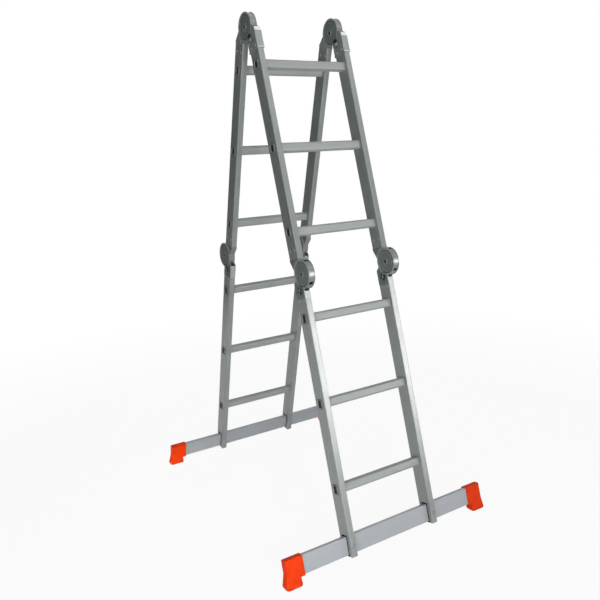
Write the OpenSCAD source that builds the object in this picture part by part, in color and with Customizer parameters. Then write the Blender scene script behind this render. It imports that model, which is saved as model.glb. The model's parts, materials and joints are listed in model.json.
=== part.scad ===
// Multi position ladder: four hinged sections standing as a double-sided stepladder.
// X runs along the rungs, the front sections lean towards -Y, Z is up from the floor.

/* [Sections] */
// Distance between rungs, centre to centre
rung_pitch = 280; // [250:1:300]
// Clear width between the left and right stiles
clear_w = 317; // [280:1:420]
// Top pivot to the first rung, along the stile
top_to_rung = 140; // [132:1:170]
// Knee pivot to the nearest rung above and below it, along the stile
knee_to_rung = 142; // [132:1:170]
// Lean of the upper sections from the vertical, in degrees
lean = 16; // [12:0.1:18]
// How far the knees pass the straight line under load, in degrees
knee_set = 0.9; // [0:0.1:1.2]

/* [Stiles] */
// Depth of the stile tube, front to back
stile_d = 56; // [50:0.5:66]
// Width of the stile tube, along the rungs
stile_w = 22; // [20:0.5:28]
// Wall of the stile tube
stile_wall = 1.6; // [1.2:0.1:2.4]
// Corner radius of the stile tube
stile_r = 2.5; // [1:0.25:4]
// Stile left below the stabiliser bar
stile_tail = 3.5; // [2:0.5:12]

/* [Rungs] */
// Depth of the rung tube, front to back
rung_d = 26; // [22:0.5:32]
// Height of the rung tube, along the stile
rung_h = 28.5; // [24:0.5:34]
// Wall of the rung tube
rung_wall = 2; // [1.5:0.1:3]
// Corner radius of the rung tube
rung_r = 7; // [3:0.5:8]
// How far the swaged collars stand out around the rung
collar_proud = 2.4; // [1.5:0.1:3]
// Thickness of the swaged collars
collar_t = 1.6; // [1:0.1:2.5]
// Number of grip ribs on each tread
tread_ribs = 5; // [3:1:6]
// Height of a grip rib
tread_rib_h = 0.8; // [0.4:0.1:1.5]
// Width of a grip rib
tread_rib_w = 1.6; // [1:0.1:2]

/* [Hinges] */
// Half of the hinge plates' width, and the radius of their round ends
disc_r = 46.5; // [44:0.5:48]
// How far the centres of the round ends stand from the pivot, along the stile
disc_rise = 1.5; // [0.5:0.5:4]
// Thickness of the hinge plates and of the walls between them
plate_t = 2.2; // [1.6:0.1:2.6]
// How far the rim of a hinge plate is raised
rim_h = 0.8; // [0.4:0.1:1.2]
// Width of the raised rim
rim_w = 5; // [3:0.5:7]
// How far the raised rim stands back from the plate's edge
rim_step = 1; // [0.5:0.1:2]
// Radius of the pivot pin
pin_r = 5; // [4:0.25:6.5]
// Radius of the pivot pin's heads
pin_head_r = 7.5; // [7:0.5:14]
// Thickness of the pivot pin's heads
pin_head_t = 1; // [0.6:0.1:4]
// Radius of the hollow in the pivot pin's ends
pin_hollow_r = 3.2; // [1.5:0.1:3.4]
// Depth of the hollow in the pivot pin's ends
pin_hollow_h = 4; // [1:0.25:8]
// Forked bracket: pivot to the top of its wall beside the disc
fork_mouth = 54; // [51:0.5:60]
// Forked bracket: pivot to the shoulder at its far edge
fork_shoulder = 26; // [20:0.5:32]
// Forked bracket: pivot to the end of its stile
fork_stile = 78; // [77:0.5:82]
// Forked bracket: length of the shank inside the stile
fork_shank = 34; // [30:1:40]
// Top bracket: pivot to the end of the sleeve over its stile
fork_len = 95; // [93:0.5:105]
// Top bracket: pivot to the start of the sleeve's outer wall
sleeve_top = 38; // [32:0.5:50]
// Top bracket: wall of the sleeve
sleeve_t = 1.4; // [1:0.1:2]
// Top bracket: how far the lip at the sleeve's end stands out
lip_proud = 1; // [0.3:0.1:1.2]
// Top bracket: length of the lip at the sleeve's end
lip_len = 4; // [2:0.25:5]
// Tongue bracket: pivot to the end of its stile
tongue_stile = 55; // [53:0.5:60]
// Tongue bracket: length of the shank inside the stile
shank_len = 55; // [45:1:58]
// Wall of the hollow shanks
shank_wall = 3; // [2:0.25:4]
// Gap between the two top stiles with the ladder closed
top_gap = 11.2; // [9:0.2:14]
// Gap between the two knee stiles with the knee folded
knee_gap = 6.2; // [3:0.2:8]
// Radius of the bracket rivets
rivet_r = 3; // [2.5:0.25:4]
// Spacing of the two rivets in a bracket
rivet_gap = 28; // [20:1:34]

/* [Locks] */
// Direction of the lock bolt from the pivot, off the stile, in degrees
lock_tilt = 28; // [24:1:32]
// Width of the lock bolt
lock_w = 10; // [8:0.5:12]
// Thickness of the lock bolt, along the rungs
lock_t = 15; // [12:0.5:16]
// Length of the lock bolt
lock_len = 19; // [17:0.5:20]
// Travel of the lock bolt into its notch
lock_travel = 8; // [6:0.5:9]
// Radius of the cross pin that draws the bolt
draw_pin_r = 3.5; // [3:0.25:4.5]
// Length of a finger tab
tab_len = 30; // [22:0.5:32]
// Width of a finger tab
tab_w = 17; // [12:0.5:19]
// How far a finger tab stands towards the pivot from its cross pin
tab_shift = 4; // [0:0.5:6]
// Thickness of a finger tab
tab_t = 3; // [2:0.5:5]
// Wire radius of the lock spring
wire_r = 0.6; // [0.4:0.05:0.8]
// Mean radius of the lock spring's coils
coil_r = 4.6; // [4:0.1:5.5]
// Number of coils in the lock spring
coils = 4; // [3:1:5]

/* [Stabiliser bars] */
// Height of the bar
bar_h = 60; // [50:1:75]
// Thickness of the bar
bar_t = 18; // [16:0.5:26]
// Wall of the bar
bar_wall = 2; // [1.5:0.1:3]
// Corner radius of the bar
bar_r = 3; // [2:0.25:5]
// Half of the bar's length
bar_half = 403; // [330:1:450]
// Last rung to the centre of the bar, along the stile
rung_to_bar = 183; // [120:1:220]
// Height of the bar's centre above the floor
bar_z = 53; // [50:1:80]
// Radius of the bar rivets
bar_rivet_r = 4; // [3:0.25:5]
// Radius of a bar rivet's heads
bar_head_r = 7.5; // [6:0.25:9]
// Thickness of a bar rivet's heads
bar_head_t = 2.6; // [2:0.2:3]

/* [Boots] */
// Length of the boot's sleeve along the bar
boot_len = 62; // [50:1:90]
// Wall of the boot's sleeve
boot_wall = 3.25; // [2.5:0.25:6]
// Corner radius of the boot's sleeve
boot_r = 4; // [2:0.5:6]
// Wall at the closed end of the boot
boot_end = 6; // [4:0.5:10]
// Length of the pad on the floor, along the bar
pad_len = 58; // [40:1:70]
// Width of the pad on the floor, front to back
pad_w = 40; // [36:1:46]
// Corner radius of the pad
pad_r = 10; // [3:0.5:12]
// Thickness of the pad's edge
pad_t = 7; // [5:0.5:10]
// How far the pad stands out past the end of the sleeve
pad_out = 8; // [0:0.5:10]
// Narrowing of the foot's inner end, from the pad up to the sleeve
neck_in = 4; // [2:0.5:8]
// How far up the sleeve the foot starts to flare, from the bar's lower edge
flare_up = 20; // [8:1:30]
// Step between the pad's edge and the flare above it
pad_step = 0.5; // [0.25:0.25:1.5]
// How far the pad stands out in front of the bar
pad_shift = 9; // [0:0.5:10]
// Number of grip grooves under the pad
pad_grooves = 3; // [1:1:4]
// Width of a grip groove
groove_w = 3; // [2:0.25:4]
// Depth of a grip groove
groove_h = 2.5; // [1:0.25:4]

/* [Fits] */
// Gap between fixed pieces that slide over each other
fit = 0.1; // [0.05:0.05:0.3]
// Gap between the faces that turn against each other
side_gap = 0.3; // [0.2:0.05:0.5]
// Gap around the rim of a turning plate
rim_gap = 1.2; // [0.8:0.1:2]
// Radial running clearance of the pivot pin in the tongue
running = 0.05; // [0.02:0.01:0.1]
// Gap around a lock bolt in its notch and slot
lock_gap = 0.5; // [0.4:0.05:0.8]

/* [Hidden] */
$fn = 64;

left = -1;
right = 1;
rungs = 3;
over = 1;
// Solid left beside the holes in a lock and under its seat
land = 2;
// How far the tongue's disc stands back from the edge of the plates
tongue_set = 0.6;

frame_grey = [0.42, 0.45, 0.45];
rung_grey = [0.50, 0.53, 0.53];
bar_grey = [0.68, 0.70, 0.72];
cast_grey = [0.31, 0.35, 0.34];
steel = [0.62, 0.64, 0.65];
black = [0.06, 0.06, 0.06];
boot_red = [0.95, 0.25, 0.06];

// Across the hinge: its plates are level with the stile, the top sleeve goes over it
plate_out = stile_w / 2;
plate_in = plate_out - plate_t;
sleeve_in = stile_w / 2 + fit;
sleeve_out = sleeve_in + sleeve_t;
tongue_half = plate_in - side_gap;
tongue_r = disc_r - tongue_set;
sweep_r = disc_r + disc_rise + rim_gap;
stile_x = clear_w / 2 + stile_w / 2;

// From a pivot to the centre line of its stiles
top_off = stile_d / 2 + top_gap / 2;
knee_off = stile_d / 2 + knee_gap / 2;

// Places along the stiles, measured down from the pivot above
knee_t = top_to_rung + (rungs - 1) * rung_pitch + knee_to_rung;
bar_drop = knee_to_rung + (rungs - 1) * rung_pitch + rung_to_bar;
window_half = bar_h / 2 + fit * 3;
lower_end = bar_drop + window_half + stile_tail;
fork_base = fork_stile - fit;
fork_rivet = (fork_stile + fork_len - lip_len) / 2;
tongue_rivet = tongue_stile + shank_len / 2;

// Pivots in the standing ladder
lean_lower = lean - knee_set;
knee_down = knee_t * cos(lean) - (top_off + knee_off) * sin(lean);
knee_out = knee_t * sin(lean) + (top_off + knee_off) * cos(lean);
top_z = bar_z + knee_down + knee_off * sin(lean_lower) + bar_drop * cos(lean_lower);
knee_y = -knee_out;
knee_z = top_z - knee_down;

// Lock bolt, measured out from the pivot
lock_tip = sqrt(pow(tongue_r + lock_gap, 2) + pow(lock_w / 2, 2));
lock_back = lock_tip + lock_len;
draw_at = lock_back - draw_pin_r - land;
seat_at = fork_stile - plate_t - land;
tab_end = draw_at - tab_shift + tab_len / 2;
notch_floor = lock_tip - lock_travel - lock_gap;
closed_angle = 1;
scaffold_angle = 70;
top_notches = [closed_angle - 180, 2 * lean - 180, 0];
knee_notches = [knee_set, -180, -scaffold_angle];

// Boots
boot_in = bar_half + boot_end - boot_len;
pad_mid = boot_in + boot_len + pad_out - pad_len / 2;

// Frames: the section hangs down from its upper pivot, which is the origin
module front_upper() {
    translate([0, 0, top_z])
        rotate([-lean, 0, 0])
            children();
}

module front_lower() {
    translate([0, knee_y, knee_z])
        rotate([-lean_lower, 0, 0])
            children();
}

module rear_upper() {
    mirror([0, 1, 0])
        front_upper()
            children();
}

module rear_lower() {
    mirror([0, 1, 0])
        front_lower()
            children();
}

// The knee pivot, seen from an upper section
module at_knee() {
    translate([0, -(top_off + knee_off), -knee_t])
        children();
}

// Extrudes an outline drawn in Y and Z along X, from x1 to x2
module along_x(x1, x2) {
    translate([x1, 0, 0])
        rotate([90, 0, 90])
            linear_extrude(x2 - x1)
                children();
}

module rod_x(r, x1, x2) {
    translate([x1, 0, 0])
        rotate([0, 90, 0])
            cylinder(r = r, h = x2 - x1);
}

module rounded(w, h, r) {
    square([w - 2 * r, h], center = true);
    square([w, h - 2 * r], center = true);
    for (sx = [-1, 1], sy = [-1, 1])
        translate([sx * (w / 2 - r), sy * (h / 2 - r)])
            circle(r);
}

// Box from low corner to high corner
module block(low, high) {
    translate(low)
        cube(high - low);
}

// Two rivets or rivet holes, side by side across the stile
module rivet_pair() {
    for (s = [-1, 1])
        translate([0, s * rivet_gap / 2, 0])
            children();
}

// Stile tube centred on the origin, from z_top down to z_end
module stile_tube(z_top, z_end, rung_list, rivet_list) {
    difference() {
        translate([0, 0, z_end])
            linear_extrude(z_top - z_end)
                difference() {
                    rounded(stile_w, stile_d, stile_r);
                    square([stile_w - 2 * stile_wall, stile_d - 2 * stile_wall], center = true);
                }
        for (z = rung_list)
            translate([0, 0, z])
                along_x(-stile_w, stile_w)
                    rounded(rung_d + 2 * fit, rung_h + 2 * fit, rung_r + fit);
        for (z = rivet_list)
            translate([0, 0, z])
                rivet_pair()
                    rod_x(rivet_r + fit, -stile_w, stile_w);
    }
}

function upper_rung_z(i) = -(top_to_rung + i * rung_pitch);
function lower_rung_z(i) = -(knee_to_rung + i * rung_pitch);

// Stile of an upper section, with the top bracket's own end and rivet places
module upper_stile(side, start, top_rivet) {
    color(frame_grey)
        translate([side * stile_x, -top_off, 0])
            stile_tube(-start, -(knee_t - tongue_stile),
                [for (i = [0:rungs - 1]) upper_rung_z(i)],
                [-top_rivet, -(knee_t - tongue_rivet)]);
}

// Stile of a lower section, with the window that the stabiliser bar passes through
module lower_stile(side) {
    color(frame_grey)
        translate([side * stile_x, knee_off, 0])
            difference() {
                stile_tube(-fork_stile, -lower_end,
                    [for (i = [0:rungs - 1]) lower_rung_z(i)],
                    [-fork_rivet]);
                translate([0, 0, -bar_drop]) {
                    along_x(-stile_w, stile_w)
                        rounded(bar_t + 6 * fit, 2 * window_half, bar_r);
                    rotate([90, 0, 0])
                        cylinder(r = bar_rivet_r + fit, h = 2 * stile_d, center = true);
                }
            }
}

// Rung tube with its grip ribs and the collars that clamp the stile walls
module rung(y, z) {
    rib_span = rung_d - 2 * rung_r;
    inner_x = clear_w / 2;
    outer_x = inner_x + stile_w;
    collar_out = 2 * collar_proud;
    color(rung_grey)
        translate([0, y, z])
            difference() {
                union() {
                    along_x(-outer_x - collar_t, outer_x + collar_t)
                        rounded(rung_d, rung_h, rung_r);
                    for (s = [-1, 1], x = [inner_x - collar_t, outer_x])
                        mirror([s < 0 ? 1 : 0, 0, 0])
                            along_x(x, x + collar_t)
                                rounded(rung_d + collar_out, rung_h + collar_out, rung_r + collar_proud);
                    for (s = [-1, 1], i = [0:tread_ribs - 1])
                        translate([0, rib_span * (i / (tread_ribs - 1) - 0.5), s * rung_h / 2])
                            cube([clear_w - 4 * collar_t, tread_rib_w, 2 * tread_rib_h], center = true);
                }
                along_x(-outer_x - collar_t - over, outer_x + collar_t + over)
                    rounded(rung_d - 2 * rung_wall, rung_h - 2 * rung_wall, rung_r - rung_wall);
            }
}

module stabiliser_bar() {
    color(bar_grey)
        translate([0, knee_off, -bar_drop])
            difference() {
                along_x(-bar_half, bar_half)
                    difference() {
                        rounded(bar_t, bar_h, bar_r);
                        rounded(bar_t - 2 * bar_wall, bar_h - 2 * bar_wall, bar_r - bar_wall);
                    }
                for (s = [left, right])
                    translate([s * stile_x, 0, 0])
                        rotate([90, 0, 0])
                            cylinder(r = bar_rivet_r + fit, h = 2 * bar_t, center = true);
            }
}

// Foot of a boot: a flat pad, and a neck that runs up from it into the sleeve's faces
module foot() {
    neck_drop = bar_h / 2 - flare_up;
    neck_len = pad_len - neck_in - pad_out;
    neck_w = (bar_t + 2 * boot_wall) / cos(lean_lower);
    neck_y = pad_shift - neck_drop * tan(lean_lower);
    slice = pad_t / 7;
    linear_extrude(pad_t)
        rounded(pad_len, pad_w, pad_r);
    hull() {
        translate([0, 0, pad_t - slice])
            linear_extrude(slice)
                rounded(pad_len - 2 * pad_step, pad_w - 2 * pad_step, pad_r - pad_step, $fn = 32);
        translate([(neck_in - pad_out) / 2, neck_y, bar_z - neck_drop - slice])
            linear_extrude(slice)
                rounded(neck_len, neck_w, boot_r / 2, $fn = 32);
    }
}

// Rubber boot: a sleeve on the bar's end and a foot that stands flat on the floor
module boot(side) {
    pocket = 2 * fit;
    groove_step = pad_w / (pad_grooves + 1);
    color(boot_red)
        translate([0, knee_off, -bar_drop])
            mirror([side < 0 ? 1 : 0, 0, 0])
                difference() {
                    union() {
                        along_x(boot_in, boot_in + boot_len)
                            rounded(bar_t + 2 * boot_wall, bar_h + 2 * boot_wall, boot_r);
                        rotate([lean_lower, 0, 0])
                            translate([pad_mid, -pad_shift, -bar_z])
                                foot();
                    }
                    along_x(boot_in - over, bar_half)
                        rounded(bar_t + 2 * pocket, bar_h + 2 * pocket, bar_r + pocket);
                    rotate([lean_lower, 0, 0])
                        translate([pad_mid, -pad_shift, -bar_z])
                            for (i = [1:pad_grooves])
                                translate([0, i * groove_step - pad_w / 2, 0])
                                    cube([2 * pad_len, groove_w, 2 * groove_h], center = true);
                }
}

// Outline of the hinge plates, round at both ends, r from its edge to its middle line
module plate_outline(r) {
    for (s = [-1, 1])
        translate([0, s * disc_rise])
            circle(r);
    square([2 * r, 2 * disc_rise], center = true);
}

// One plate of a fork, outside face towards +X
module fork_plate(off) {
    back = off + stile_d / 2;
    front = off - stile_d / 2;
    along_x(plate_in, plate_out) {
        plate_outline(disc_r);
        polygon([
            [front, -tongue_r / 2],
            [disc_r * cos(lock_tilt), -tongue_r / 4],
            [back, -fork_shoulder],
            [back, -fork_base],
            [front, -fork_base]
        ]);
    }
    along_x(plate_out, plate_out + rim_h)
        difference() {
            plate_outline(disc_r - rim_step);
            plate_outline(disc_r - rim_step - rim_w);
        }
}

// Slot through both plates of a fork, for the cross pin of its lock
module draw_slot() {
    slot_r = draw_pin_r + lock_gap;
    reach = 2 * plate_out;
    for (z = [draw_at, draw_at - lock_travel])
        translate([0, 0, -z])
            rod_x(slot_r, -reach, reach);
    block([-reach, -slot_r, -draw_at], [reach, slot_r, lock_travel - draw_at]);
}

// Hollow shank in a stile's end, standing up from start, with its rivet holes at z
module shank(off, start, end, z) {
    half_x = stile_w / 2 - stile_wall - fit;
    half_y = stile_d / 2 - stile_wall - fit;
    difference() {
        block([-half_x, off - half_y, start - fit - over], [half_x, off + half_y, end]);
        block([-half_x + shank_wall, off - half_y + shank_wall, start + shank_wall],
            [half_x - shank_wall, off + half_y - shank_wall, end + over]);
        translate([0, off, z])
            rivet_pair()
                rod_x(rivet_r + fit, -stile_w, stile_w);
    }
}

// Forked bracket: pivot at the origin, stile hanging down on the +Y side
module fork(off) {
    back = off + stile_d / 2;
    front = off - stile_d / 2;
    color(cast_grey)
        difference() {
            union() {
                for (s = [-1, 1])
                    mirror([s < 0 ? 1 : 0, 0, 0])
                        fork_plate(off);
                block([-plate_out, front, -fork_base], [plate_out, front + plate_t, -fork_mouth]);
                block([-plate_out, back - plate_t, -fork_base], [plate_out, back, -fork_shoulder]);
                block([-plate_out, front, -fork_base], [plate_out, back, plate_t - fork_base]);
                rotate([lock_tilt, 0, 0])
                    block([-plate_out, -lock_w / 2, -fork_stile], [plate_out, lock_w / 2, -seat_at]);
                mirror([0, 0, 1])
                    shank(off, fork_stile, fork_stile + fork_shank, fork_rivet);
            }
            rod_x(pin_r, -2 * plate_out, 2 * plate_out);
            rotate([lock_tilt, 0, 0])
                draw_slot();
        }
}

// Sleeve of a top bracket over its stile's end, with a lip; its sides start past the finger tabs
module top_sleeve(off) {
    start = tab_end * cos(lock_tilt) + tab_w / 2 * sin(lock_tilt) + over;
    back = off + stile_d / 2;
    front = off - stile_d / 2;
    skin = fit + sleeve_t;
    lip = skin + lip_proud;
    color(cast_grey)
        difference() {
            union() {
                block([-sleeve_out, front - skin, -fork_len], [sleeve_out, back + skin, -start]);
                block([-sleeve_out, front - skin, -fork_len], [sleeve_out, front + plate_t, -fork_mouth]);
                block([-sleeve_out, back - plate_t, -fork_len], [sleeve_out, back + skin, -sleeve_top]);
                block([-plate_out - lip, front - lip, -fork_len],
                    [plate_out + lip, back + lip, lip_len - fork_len]);
            }
            block([-sleeve_in, front - fit, -fork_len - over], [sleeve_in, back + fit, -fork_base]);
            block([-plate_in, front + plate_t, plate_t - fork_base],
                [plate_in, back - plate_t, -fork_shoulder]);
            translate([0, off, -fork_rivet])
                rivet_pair()
                    rod_x(rivet_r + fit, -2 * sleeve_out, 2 * sleeve_out);
        }
}

// Tongue bracket: pivot at the origin, stile standing up on the +Y side
module tongue(off, notches) {
    back = off + stile_d / 2;
    front = off - stile_d / 2;
    color(cast_grey)
        difference() {
            union() {
                difference() {
                    along_x(-plate_out, plate_out)
                        tongue_outline(front, back);
                    rod_x(sweep_r, -2 * plate_out, 2 * plate_out);
                }
                along_x(-tongue_half, tongue_half)
                    tongue_outline(front, back);
                rod_x(tongue_r, -tongue_half, tongue_half);
            }
            rod_x(pin_r + running, -2 * plate_out, 2 * plate_out);
            for (a = notches)
                rotate([a + lock_tilt, 0, 0])
                    block([-plate_out, -lock_w / 2 - lock_gap, -2 * disc_r],
                        [plate_out, lock_w / 2 + lock_gap, -notch_floor]);
        }
    color(cast_grey)
        shank(off, tongue_stile, tongue_stile + shank_len, tongue_rivet);
}

module tongue_outline(front, back) {
    polygon([
        [front, 0],
        [disc_r * cos(lock_tilt), tongue_r / 4],
        [back, tongue_stile - fork_shoulder / 4],
        [back, tongue_stile - fit],
        [front, tongue_stile - fit]
    ]);
}

// Pivot pin with a low head on each plate and a hollow in each end
module pivot_pin() {
    pin_end = plate_out + pin_head_t;
    color(steel)
        difference() {
            union() {
                rod_x(pin_r, -plate_out, plate_out);
                for (s = [-1, 1])
                    mirror([s < 0 ? 1 : 0, 0, 0])
                        translate([plate_out, 0, 0])
                            rotate([0, 90, 0])
                                cylinder(r1 = pin_head_r, r2 = pin_head_r - pin_head_t, h = pin_head_t);
            }
            for (s = [-1, 1])
                mirror([s < 0 ? 1 : 0, 0, 0])
                    rod_x(pin_hollow_r, pin_end - pin_hollow_h, pin_end + over);
        }
}

module pin_pair() {
    for (s = [left, right])
        translate([s * stile_x, 0, 0])
            pivot_pin();
}

// Lock bolt with its cross pin and finger tabs, drawn clear of the notches
module lock() {
    tab_in = plate_out + rim_h + side_gap;
    color(black)
        rotate([lock_tilt, 0, 0]) {
            block([-lock_t / 2, -lock_w / 2, -lock_back], [lock_t / 2, lock_w / 2, -lock_tip]);
            translate([0, 0, -draw_at]) {
                rod_x(draw_pin_r, -tab_in - tab_t / 2, tab_in + tab_t / 2);
                for (s = [-1, 1])
                    mirror([s < 0 ? 1 : 0, 0, 0])
                        translate([0, 0, tab_shift])
                            along_x(tab_in, tab_in + tab_t)
                                rounded(tab_w, tab_len, tab_w / 3);
            }
        }
}

// Ring of wire points at one step of the coil
function coil_ring(turn, height) = [
    for (k = [0:5])
        let (reach = coil_r + wire_r * cos(60 * k))
        [reach * cos(360 * turn), reach * sin(360 * turn), height + wire_r * sin(60 * k)]
];

// Compression spring between the lock bolt and its seat
module lock_spring() {
    sides = 6;
    steps = coils * 8;
    low = -seat_at + wire_r + fit;
    rise = seat_at - lock_back - 2 * (wire_r + fit);
    points = [for (i = [0:steps]) each coil_ring(i / 8, low + rise * i / steps)];
    walls = [for (i = [0:steps - 1], k = [0:sides - 1])
        let (a = i * sides + k, b = i * sides + (k + 1) % sides)
        each [[a, a + sides, b + sides], [a, b + sides, b]]];
    cap_low = [for (k = [1:sides - 2]) [0, k, k + 1]];
    last = steps * sides;
    cap_high = [for (k = [1:sides - 2]) [last, last + k + 1, last + k]];
    color(steel)
        rotate([lock_tilt, 0, 0])
            polyhedron(points, concat(walls, cap_low, cap_high), convexity = 10);
}

// Cross rivet clamping a width of 2 * half
module rivet(half) {
    color(steel) {
        rod_x(rivet_r, -half, half);
        for (s = [-1, 1])
            mirror([s < 0 ? 1 : 0, 0, 0])
                translate([half, 0, 0])
                    rotate([0, 90, 0])
                        cylinder(r1 = rivet_r * 1.8, r2 = rivet_r * 1.2, h = rivet_r * 0.6);
    }
}

module rivets_at(y, z, half) {
    for (s = [left, right])
        translate([s * stile_x, y, z])
            rivet_pair()
                rivet(half);
}

// Rivets that hold the bar in the stiles, with low heads front and back
module bar_rivets() {
    color(steel)
        for (s = [left, right])
            translate([s * stile_x, knee_off, -bar_drop])
                for (side = [-1, 1])
                    mirror([0, side < 0 ? 1 : 0, 0])
                        rotate([-90, 0, 0]) {
                            cylinder(r = bar_rivet_r, h = stile_d / 2);
                            translate([0, 0, stile_d / 2])
                                cylinder(r1 = bar_head_r, r2 = bar_head_r - bar_head_t, h = bar_head_t);
                        }
}

// Sub-parts in place
module front_upper_stile(side) {
    front_upper()
        upper_stile(side, fork_stile, fork_rivet);
}

module rear_upper_stile(side) {
    rear_upper()
        upper_stile(side, tongue_stile, tongue_rivet);
}

module front_lower_stile(side) {
    front_lower()
        lower_stile(side);
}

module rear_lower_stile(side) {
    rear_lower()
        lower_stile(side);
}

module front_upper_rung(i) {
    front_upper()
        rung(-top_off, upper_rung_z(i - 1));
}

module rear_upper_rung(i) {
    rear_upper()
        rung(-top_off, upper_rung_z(i - 1));
}

module front_lower_rung(i) {
    front_lower()
        rung(knee_off, lower_rung_z(i - 1));
}

module rear_lower_rung(i) {
    rear_lower()
        rung(knee_off, lower_rung_z(i - 1));
}

module front_stabiliser_bar() {
    front_lower()
        stabiliser_bar();
}

module rear_stabiliser_bar() {
    rear_lower()
        stabiliser_bar();
}

module front_boot(side) {
    front_lower()
        boot(side);
}

module rear_boot(side) {
    rear_lower()
        boot(side);
}

// The front section carries the top forks, which open towards the back
module top_fork_side(side) {
    front_upper()
        translate([side * stile_x, 0, 0])
            mirror([0, 1, 0])
                children();
}

module front_knee_side(side) {
    front_lower()
        translate([side * stile_x, 0, 0])
            children();
}

module rear_knee_side(side) {
    rear_lower()
        translate([side * stile_x, 0, 0])
            children();
}

module top_fork(side) {
    top_fork_side(side) {
        fork(top_off);
        top_sleeve(top_off);
    }
}

module front_knee_fork(side) {
    front_knee_side(side)
        fork(knee_off);
}

module rear_knee_fork(side) {
    rear_knee_side(side)
        fork(knee_off);
}

module top_tongue(side) {
    rear_upper()
        translate([side * stile_x, 0, 0])
            rotate([180, 0, 0])
                tongue(top_off, top_notches);
}

module front_knee_tongue(side) {
    front_upper()
        at_knee()
            translate([side * stile_x, 0, 0])
                tongue(knee_off, knee_notches);
}

module rear_knee_tongue(side) {
    rear_upper()
        at_knee()
            translate([side * stile_x, 0, 0])
                tongue(knee_off, knee_notches);
}

module top_pivot_pins() {
    front_upper()
        pin_pair();
}

module front_knee_pivot_pins() {
    front_lower()
        pin_pair();
}

module rear_knee_pivot_pins() {
    rear_lower()
        pin_pair();
}

module top_lock(side) {
    top_fork_side(side)
        lock();
}

module front_knee_lock(side) {
    front_knee_side(side)
        lock();
}

module rear_knee_lock(side) {
    rear_knee_side(side)
        lock();
}

module top_lock_spring(side) {
    top_fork_side(side)
        lock_spring();
}

module front_knee_lock_spring(side) {
    front_knee_side(side)
        lock_spring();
}

module rear_knee_lock_spring(side) {
    rear_knee_side(side)
        lock_spring();
}

module knee_tongue_rivets() {
    rivets_at(-top_off, -(knee_t - tongue_rivet), stile_w / 2);
}

module knee_fork_rivets() {
    rivets_at(knee_off, -fork_rivet, stile_w / 2);
}

module front_upper_rivets() {
    front_upper() {
        rivets_at(-top_off, -fork_rivet, sleeve_out);
        knee_tongue_rivets();
    }
}

module rear_upper_rivets() {
    rear_upper() {
        rivets_at(-top_off, -tongue_rivet, stile_w / 2);
        knee_tongue_rivets();
    }
}

module front_lower_rivets() {
    front_lower()
        knee_fork_rivets();
}

module rear_lower_rivets() {
    rear_lower()
        knee_fork_rivets();
}

module front_bar_rivets() {
    front_lower()
        bar_rivets();
}

module rear_bar_rivets() {
    rear_lower()
        bar_rivets();
}

front_upper_stile(left);  // front_upper_stile_left
front_upper_stile(right);  // front_upper_stile_right
front_lower_stile(left);  // front_lower_stile_left
front_lower_stile(right);  // front_lower_stile_right
rear_upper_stile(left);  // rear_upper_stile_left
rear_upper_stile(right);  // rear_upper_stile_right
rear_lower_stile(left);  // rear_lower_stile_left
rear_lower_stile(right);  // rear_lower_stile_right
front_upper_rung(1);  // front_upper_rung_1
front_upper_rung(2);  // front_upper_rung_2
front_upper_rung(3);  // front_upper_rung_3
front_lower_rung(1);  // front_lower_rung_1
front_lower_rung(2);  // front_lower_rung_2
front_lower_rung(3);  // front_lower_rung_3
rear_upper_rung(1);  // rear_upper_rung_1
rear_upper_rung(2);  // rear_upper_rung_2
rear_upper_rung(3);  // rear_upper_rung_3
rear_lower_rung(1);  // rear_lower_rung_1
rear_lower_rung(2);  // rear_lower_rung_2
rear_lower_rung(3);  // rear_lower_rung_3
front_stabiliser_bar();
rear_stabiliser_bar();
front_boot(left);  // front_boot_left
front_boot(right);  // front_boot_right
rear_boot(left);  // rear_boot_left
rear_boot(right);  // rear_boot_right
top_fork(left);  // top_fork_left
top_fork(right);  // top_fork_right
front_knee_fork(left);  // front_knee_fork_left
front_knee_fork(right);  // front_knee_fork_right
rear_knee_fork(left);  // rear_knee_fork_left
rear_knee_fork(right);  // rear_knee_fork_right
top_tongue(left);  // top_tongue_left
top_tongue(right);  // top_tongue_right
front_knee_tongue(left);  // front_knee_tongue_left
front_knee_tongue(right);  // front_knee_tongue_right
rear_knee_tongue(left);  // rear_knee_tongue_left
rear_knee_tongue(right);  // rear_knee_tongue_right
top_pivot_pins();
front_knee_pivot_pins();
rear_knee_pivot_pins();
top_lock(left);  // top_lock_left
top_lock(right);  // top_lock_right
front_knee_lock(left);  // front_knee_lock_left
front_knee_lock(right);  // front_knee_lock_right
rear_knee_lock(left);  // rear_knee_lock_left
rear_knee_lock(right);  // rear_knee_lock_right
top_lock_spring(left);  // top_lock_spring_left
top_lock_spring(right);  // top_lock_spring_right
front_knee_lock_spring(left);  // front_knee_lock_spring_left
front_knee_lock_spring(right);  // front_knee_lock_spring_right
rear_knee_lock_spring(left);  // rear_knee_lock_spring_left
rear_knee_lock_spring(right);  // rear_knee_lock_spring_right
front_upper_rivets();
front_lower_rivets();
rear_upper_rivets();
rear_lower_rivets();
front_bar_rivets();
rear_bar_rivets();
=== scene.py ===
import json
import math

import bmesh
import bpy
from mathutils import Matrix, Vector


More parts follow.
